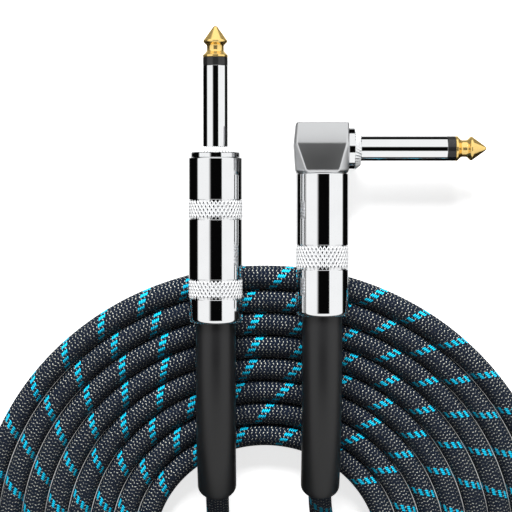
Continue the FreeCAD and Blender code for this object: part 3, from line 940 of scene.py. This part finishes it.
# the pieces inside, kept as built
innerFinish = {
    "_inner_tube": insulator, "_washer": insulator, "_core": insulator, "_tip_lug": tinned,
    "_ground_lug": tinned, "_liner": linerPlastic, "_cable_jacket": jacketRubber, "_shield_tail": copper,
    "_conductor": copper, "_tip_solder": solder, "_ground_solder": solder, "_cable_cover": jacketRubber,
}
for name, node in frame["nodes"].items():
    ending = next((e for e in innerFinish if name.endswith(e)), None)
    if ending:
        node.data.materials.clear()
        node.data.materials.append(innerFinish[ending])

# studio: pale floor, one soft lamp, white panels for the metal to mirror
studio = {
    "floorHalf": 1.2,
    "floorColour": (0.9, 0.9, 0.9),
    "floorLift": 0.72,
    "keyPower": 26.0,
    "keySize": 0.4,
    "keyAt": (-0.05, 0.88, 0.42),
    "fill": 0.11,
}


def makeFloor():
    half = studio["floorHalf"]
    mesh = bpy.data.meshes.new("paleFloor")
    corners = [(-half, -half, 0), (half, -half, 0), (half, half, 0), (-half, half, 0)]
    mesh.from_pydata(corners, [], [(0, 1, 2, 3)])
    material, tree, shader = newMaterial("paleFloor", studio["floorColour"], Roughness=0.9)
    ray = tree.tree.nodes.new("ShaderNodeLightPath")
    seen = tree.math("ADD", ray.outputs["Is Camera Ray"], ray.outputs["Is Glossy Ray"])
    seen = tree.math("ADD", seen, ray.outputs["Is Transmission Ray"], clamp=True)
    lift = tree.math("MULTIPLY", seen, studio["floorLift"])
    glow = tree.add("ShaderNodeEmission", Color=(1, 1, 1, 1), Strength=lift)
    both = tree.add("ShaderNodeAddShader")
    output = tree.tree.nodes["Material Output"]
    tree.links.new(shader.outputs[0], both.inputs[0])
    tree.links.new(glow.outputs[0], both.inputs[1])
    tree.links.new(both.outputs[0], output.inputs[0])
    floor = meshObject("paleFloor", mesh, material)
    floor.visible_glossy = False


def makeLamp():
    data = bpy.data.lights.new("softKey", "AREA")
    data.shape = "DISK"
    data.size = studio["keySize"]
    data.energy = studio["keyPower"]
    lamp = bpy.data.objects.new("softKey", data)
    lamp.location = studio["keyAt"]
    aim = Vector((-0.02, -0.04, 0)) - lamp.location
    lamp.rotation_euler = aim.to_track_quat("-Z", "Y").to_euler()
    lamp.visible_glossy = False
    scene.collection.objects.link(lamp)


room = {
    # edges of the dark gap overhead, in degrees from straight up, each from bright to dark
    "left": (-30.0, -17.0),
    "right": (31.0, 27.0),
    "near": (-16.0, -13.0),
    "far": (26.0, 20.0),
    # the white panels end a little below level, lower to the right and in front
    "horizon": (-0.06, 0.10),
    "leanRight": 0.16,
    "leanForward": 0.2,
    "panel": 0.97,
    "deep": (-0.78, -0.86),
    "deepGlow": 0.7,
    "least": 0.002,
}


def makeWorld():
    # white panels left, right, in front and behind, with a dark gap overhead and dark below
    world = bpy.data.worlds.new("studioRoom")
    scene.world = world
    world.use_nodes = True
    tree = Nodes(world.node_tree)
    background = world.node_tree.nodes["Background"]
    way = tree.add("ShaderNodeTexCoord").outputs["Generated"]
    part = tree.add("ShaderNodeSeparateXYZ", Vector=way)
    x, y, z = part.outputs
    sideways = tree.math("MULTIPLY", tree.math("ARCTAN2", x, z), 180 / math.pi)
    forwards = tree.math("MULTIPLY", tree.math("ARCTAN2", y, z), 180 / math.pi)
    gap = 1.0
    for angle, edges in ((sideways, ("left", "right")), (forwards, ("near", "far"))):
        for edge in edges:
            gap = tree.math("MULTIPLY", gap, tree.step(angle, *room[edge]))
    height = tree.math("MULTIPLY_ADD", x, room["leanRight"], z)
    height = tree.math("MULTIPLY_ADD", y, room["leanForward"], height)
    above = tree.step(height, *room["horizon"])
    deep = tree.step(z, *room["deep"])
    bright = tree.math("MULTIPLY", above, tree.math("SUBTRACT", 1.0, gap))
    bright = tree.math("MULTIPLY", bright, room["panel"])
    bright = tree.math("ADD", bright, tree.math("MULTIPLY", deep, room["deepGlow"]))
    mirror = tree.math("ADD", bright, room["least"])
    ray = tree.tree.nodes.new("ShaderNodeLightPath")
    camera, glossy = ray.outputs["Is Camera Ray"], ray.outputs["Is Glossy Ray"]
    strength = tree.math("MULTIPLY", tree.math("SUBTRACT", 1.0, camera), studio["fill"])
    strength = tree.math("ADD", strength, camera)
    change = tree.math("MULTIPLY", glossy, tree.math("SUBTRACT", mirror, strength))
    tree.fill(background, {"Color": (1, 1, 1, 1), "Strength": tree.math("ADD", strength, change)})


makeFloor()
makeLamp()
makeWorld()
print("studio set")
